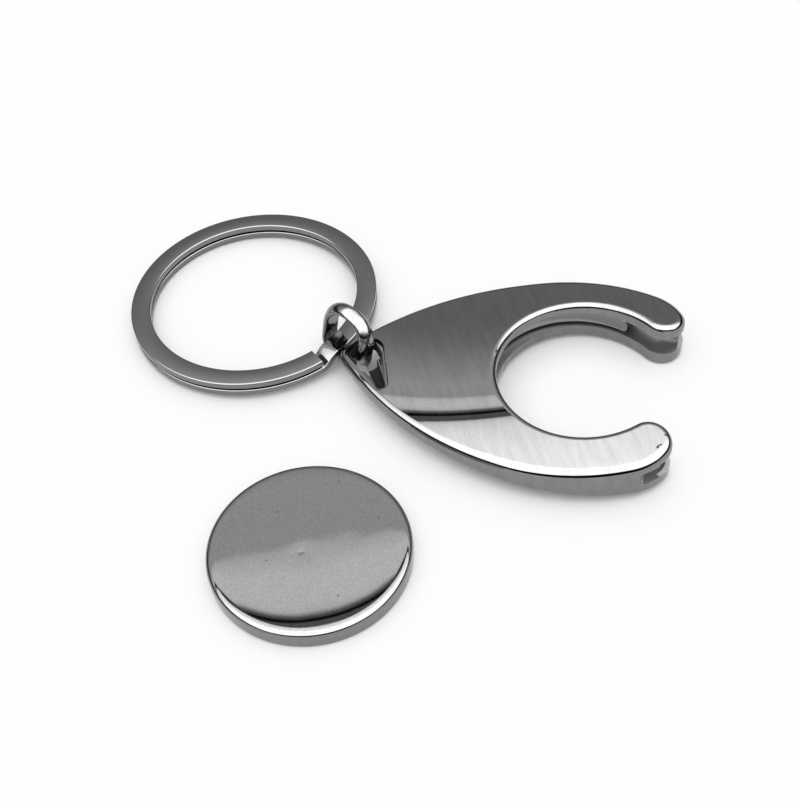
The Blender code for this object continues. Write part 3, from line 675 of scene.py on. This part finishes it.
# Link: a small die-cast loop of half-round section, flat side inwards, that stands in the slot with
# a slight lean. It has the holder's plate, but is tumbled and not buffed, so its mirror is softer
# and the reflections waver over shallow dents.
LINK_INNER_HALF_LENGTH = 2.95 * MM
LINK_INNER_HALF_HEIGHT = 2.85 * MM
LINK_TOP_SHARE = 0.87
LINK_BASE_SHARE = 0.40
LINK_BAND_WIDTH = 2.30 * MM
LINK_EDGE_THICKNESS = 0.36 * MM
LINK_CROWN = 0.84 * MM
LINK_HEADING = math.radians(-33)
LINK_LEAN = math.radians(15)
LINK_PLACE = Vector((-2.64 * MM, 30.90 * MM, 3.945 * MM))
LINK_CORNER = 0.12 * MM
LINK_SPACING = 0.12 * MM
LINK_STEPS = 720
LINK_DENTS = 1.7 * MM
LINK_DENT_DEPTH = 0.3 * MM

link_plate = plate.copy()
link_plate.name = "tumbled_dark_nickel_plate"
tree = link_plate.node_tree
bump = tree.nodes[plate_bump.name]
place = node(tree, "ShaderNodeTexCoord").outputs["Object"]
dents = node(tree, "ShaderNodeTexNoise", {"Vector": place, "Scale": 1 / LINK_DENTS, "Detail": 0.0})
tree.links.new(dents.outputs["Fac"], bump.inputs["Height"])
bump.inputs["Strength"].default_value = 1.0
bump.inputs["Distance"].default_value = LINK_DENT_DEPTH
haze = tree.nodes[plate_haze.name]
haze.inputs["To Min"].default_value = 0.12
haze.inputs["To Max"].default_value = 0.24

points = []
for i in range(LINK_STEPS):
    turn = 2 * math.pi * i / LINK_STEPS
    share = LINK_TOP_SHARE if math.sin(turn) > 0 else LINK_BASE_SHARE
    x = math.copysign(abs(math.cos(turn)) ** share, math.cos(turn))
    y = math.copysign(abs(math.sin(turn)) ** share, math.sin(turn))
    points.append((x * (LINK_INNER_HALF_LENGTH + LINK_EDGE_THICKNESS / 2),
                   y * (LINK_INNER_HALF_HEIGHT + LINK_EDGE_THICKNESS / 2), 0.0))
along = Vector((math.cos(LINK_HEADING), math.sin(LINK_HEADING), 0))
across = Vector((-along.y, along.x, 0))
up = Vector((0, 0, 1))
rise = across * math.sin(LINK_LEAN) + up * math.cos(LINK_LEAN)
width = across * math.cos(LINK_LEAN) - up * math.sin(LINK_LEAN)
to_world = Matrix((along, rise, width)).transposed().to_4x4()
to_world.translation = LINK_PLACE
mesh = swept_band("link_loop_mesh", points, True,
                  {"Across": LINK_EDGE_THICKNESS, "Upright": LINK_BAND_WIDTH, "Crown": LINK_CROWN,
                   "Spacing": LINK_SPACING, "Corner radius": LINK_CORNER, "Crown cuts": 5},
                  link_plate, to_world)
finish("link_loop", mesh, "link", "link")

# Split ring: flat steel wire wound two turns, its faces ground, then plated. Plating over the
# ground wire leaves it a shade darker and less sharp than the holder, with lines along the wire.
RING_OUTER_RADIUS = 16.15 * MM
RING_BAND_WIDTH = 2.54 * MM
RING_WIRE_THICKNESS = 0.90 * MM
RING_PITCH = 1.18 * MM
RING_CORNER = 0.20 * MM
RING_CENTRE = Vector((-17.1195 * MM, 37.5287 * MM, 0.425 * MM))
RING_LIFT = 0.85 * MM
RING_LIFT_HEADING = math.radians(-30)
RING_LOWER_START = math.radians(-14)
RING_TOP_END = math.radians(-41)
RING_CLIMB_END = math.radians(-33)
RING_END_GAP = math.radians(0.4)
RING_SPACING = 0.22 * MM
RING_STEPS = 500
RING_CLIMB_STEPS = 60
GRINDING_LINES = 0.15 * MM

wire = bpy.data.materials.new("plated_flat_steel_wire")
wire.use_nodes = True
tree = wire.node_tree
shader = tree.nodes["Principled BSDF"]
shader.inputs["Metallic"].default_value = 1.0
shader.inputs["Base Color"].default_value = linear("7f7f7f")
place = node(tree, "ShaderNodeTexCoord").outputs["Object"]
centred = node(tree, "ShaderNodeMapping", {"Vector": place, "Location": -RING_CENTRE})
split = node(tree, "ShaderNodeSeparateXYZ", {"Vector": centred.outputs[0]})
plan = node(tree, "ShaderNodeCombineXYZ", {"X": split.outputs["X"], "Y": split.outputs["Y"]})
radius = node(tree, "ShaderNodeVectorMath", {0: plan.outputs[0]}, operation="LENGTH")
drawn = node(tree, "ShaderNodeTexNoise", {"W": radius.outputs["Value"], "Scale": 1 / GRINDING_LINES,
                                          "Detail": 2.0}, noise_dimensions="1D")
cloud = node(tree, "ShaderNodeTexNoise", {"Vector": place, "Scale": 1 / (3 * MM), "Detail": 3.0})
mix = node(tree, "ShaderNodeMath", {0: drawn.outputs["Fac"], 1: cloud.outputs["Fac"]}, operation="ADD")
grain = node(tree, "ShaderNodeMapRange", {"Value": mix.outputs[0], "From Min": 0.6, "From Max": 1.4,
                                          "To Min": 0.07, "To Max": 0.16})
tree.links.new(grain.outputs["Result"], shader.inputs["Roughness"])
bump = node(tree, "ShaderNodeBump", {"Strength": 0.12, "Distance": 0.01 * MM, "Height": drawn.outputs["Fac"]})
tree.links.new(bump.outputs["Normal"], shader.inputs["Normal"])

points = []
climb = RING_CLIMB_END - RING_TOP_END
lower = RING_TOP_END + 2 * math.pi - RING_LOWER_START
upper = 2 * math.pi - climb - RING_END_GAP
middle_radius = RING_OUTER_RADIUS - RING_BAND_WIDTH / 2
for start, sweep, count, low, high in ((RING_LOWER_START, lower, RING_STEPS, 0, 0),
                                       (RING_TOP_END, climb, RING_CLIMB_STEPS, 0, 1),
                                       (RING_CLIMB_END, upper, RING_STEPS, 1, 1)):
    for i in range(0 if not points else 1, count + 1):
        ease = (i / count) ** 2 * (3 - 2 * i / count)
        height = RING_WIRE_THICKNESS / 2 + RING_PITCH * (low + (high - low) * ease)
        points.append((*polar((0, 0), middle_radius, start + sweep * i / count), height))
slope = math.asin(RING_LIFT / (2 * RING_OUTER_RADIUS))
hinge = Vector((-math.sin(RING_LIFT_HEADING), math.cos(RING_LIFT_HEADING), 0))
to_world = Matrix.Translation(RING_CENTRE) @ Matrix.Rotation(-slope, 4, hinge)
mesh = swept_band("split_ring_mesh", points, False,
                  {"Across": RING_BAND_WIDTH, "Upright": RING_WIRE_THICKNESS, "Crown": 0.0,
                   "Spacing": RING_SPACING, "Corner radius": RING_CORNER, "Crown cuts": 0}, wire, to_world)
finish("split_ring_wire", mesh, "ring", "split_ring")

# Token: a blank of rolled steel, tumbled and plated, with a rolled-over rim and a faint round mark a
# little off its middle. Its flat face mirrors the room almost as sharply as the holder does, with a
# fine grain (drawn at 0.14 mm, coarser than the real one) and a few pits. The blank isn't quite
# flat: a slope too small to model turns its reflection by about 0.6 degrees.
TOKEN_RADIUS = 11.625 * MM
TOKEN_THICKNESS = 2.33 * MM
TOKEN_ROLL = 0.72 * MM
TOKEN_ROLL_DEPTH = 0.62 * MM
TOKEN_LOWER_ROLL = 0.25 * MM
TOKEN_MARK_RADIUS = 0.45 * MM
TOKEN_MARK_DEPTH = 0.006 * MM
TOKEN_MARK_PLACE = Vector((-0.65 * MM, -1.05 * MM, 0))
TOKEN_ROLL_TURN = math.radians(85)
TOKEN_FALL = 0.023 * MM
TOKEN_FALL_WIDTH = 2.8 * MM
TOKEN_SLOPE = 0.0056
TOKEN_WAVE = 7 * MM
TOKEN_WAVE_DEPTH = 0.012 * MM
TOKEN_GRAIN = 0.14 * MM
TOKEN_PIT_SPACING = 8 * MM
TOKEN_ROLL_STEPS = 12
TOKEN_FALL_STEPS = 8
TOKEN_MARK_STEPS = 6
TOKEN_TURN_STEPS = 240

token_plate = bpy.data.materials.new("tumbled_nickel_plated_blank")
token_plate.use_nodes = True
tree = token_plate.node_tree
shader = tree.nodes["Principled BSDF"]
shader.inputs["Metallic"].default_value = 1.0
place = node(tree, "ShaderNodeTexCoord").outputs["Object"]
grain = node(tree, "ShaderNodeTexNoise", {"Vector": place, "Scale": 1 / TOKEN_GRAIN, "Detail": 2.0})
shade = node(tree, "ShaderNodeValToRGB", {"Fac": grain.outputs["Fac"]})
set_stops(shade, [(0.35, "7c7c7c"), (0.65, "8b8b8b")])
pits = node(tree, "ShaderNodeTexVoronoi", {"Vector": place, "Scale": 1 / TOKEN_PIT_SPACING},
            voronoi_dimensions="2D")
pit = node(tree, "ShaderNodeMapRange", {"Value": pits.outputs["Distance"], "From Min": 0.01,
                                        "From Max": 0.026, "To Min": 0.45, "To Max": 0.0})
colour = node(tree, "ShaderNodeMix", {"Factor": pit.outputs["Result"], "A": shade.outputs["Color"],
                                      "B": linear("333333")}, data_type="RGBA")
tree.links.new(colour.outputs["Result"], shader.inputs["Base Color"])
haze = node(tree, "ShaderNodeMapRange", {"Value": grain.outputs["Fac"], "From Min": 0.3, "From Max": 0.7,
                                         "To Min": 0.012, "To Max": 0.03})
tree.links.new(haze.outputs["Result"], shader.inputs["Roughness"])
wave = node(tree, "ShaderNodeTexNoise", {"Vector": place, "Scale": 1 / TOKEN_WAVE, "Detail": 1.0})
slope = node(tree, "ShaderNodeVectorMath", {0: place, 1: (0, -TOKEN_SLOPE, 0)}, operation="DOT_PRODUCT")
height = node(tree, "ShaderNodeMath", {0: wave.outputs["Fac"], 1: TOKEN_WAVE_DEPTH,
                                       2: slope.outputs["Value"]}, operation="MULTIPLY_ADD")
bump = node(tree, "ShaderNodeBump", {"Strength": 1.0, "Distance": 1.0, "Height": height.outputs[0]})
tree.links.new(bump.outputs["Normal"], shader.inputs["Normal"])

profile = [(0.0, 0.0), (TOKEN_RADIUS - TOKEN_LOWER_ROLL - ROLL_MARGIN, 0.0)]
roll_top = TOKEN_THICKNESS - TOKEN_FALL
for roll, depth, start, end, middle in (
        (TOKEN_LOWER_ROLL, TOKEN_LOWER_ROLL, -math.pi / 2, 0.0, TOKEN_LOWER_ROLL),
        (TOKEN_ROLL, TOKEN_ROLL_DEPTH, 0.0, TOKEN_ROLL_TURN,
         roll_top - TOKEN_ROLL_DEPTH * math.sin(TOKEN_ROLL_TURN))):
    for i in range(TOKEN_ROLL_STEPS + 1):
        turn = start + (end - start) * i / TOKEN_ROLL_STEPS
        profile.append((TOKEN_RADIUS - roll * (1 - math.cos(turn)), middle + depth * math.sin(turn)))
rim = profile[-1][0]
for i in range(1, TOKEN_FALL_STEPS + 1):
    share = 1 - i / TOKEN_FALL_STEPS
    profile.append((rim - TOKEN_FALL_WIDTH * (1 - share), TOKEN_THICKNESS - TOKEN_FALL * share ** 3))
for i in range(TOKEN_MARK_STEPS + 1):
    share = 1 - i / TOKEN_MARK_STEPS
    dip = TOKEN_MARK_DEPTH * (1 + math.cos(math.pi * share)) / 2
    profile.append((TOKEN_MARK_RADIUS * share, TOKEN_THICKNESS - dip))
disc = bmesh.new()
verts = [disc.verts.new((x, 0, z)) for x, z in profile]
edges = [disc.edges.new(pair) for pair in zip(verts, verts[1:])]
bmesh.ops.spin(disc, geom=verts + edges, cent=(0, 0, 0), axis=(0, 0, 1), angle=2 * math.pi,
               steps=TOKEN_TURN_STEPS, use_merge=True, use_duplicate=False)
bmesh.ops.remove_doubles(disc, verts=disc.verts, dist=WELD)
bmesh.ops.recalc_face_normals(disc, faces=disc.faces)
for vert in disc.verts:
    if vert.co.z > TOKEN_THICKNESS / 2 and vert.co.xy.length < TOKEN_MARK_RADIUS + WELD:
        vert.co += TOKEN_MARK_PLACE
mesh = bpy.data.meshes.new("token_blank")
disc.to_mesh(mesh)
disc.free()
mesh.materials.append(token_plate)
mesh.shade_smooth()
mesh.set_sharp_from_angle(angle=SHARP_TURN)
finish("token_blank", mesh, "coin", "coin")

# The CAD solids that the pieces above replace stay hidden and only carry the holder's plate.
for name in ("coin_holder", "spring_strip", "link", "split_ring", "coin"):
    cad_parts[name].data.materials.clear()
    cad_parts[name].data.materials.append(plate)
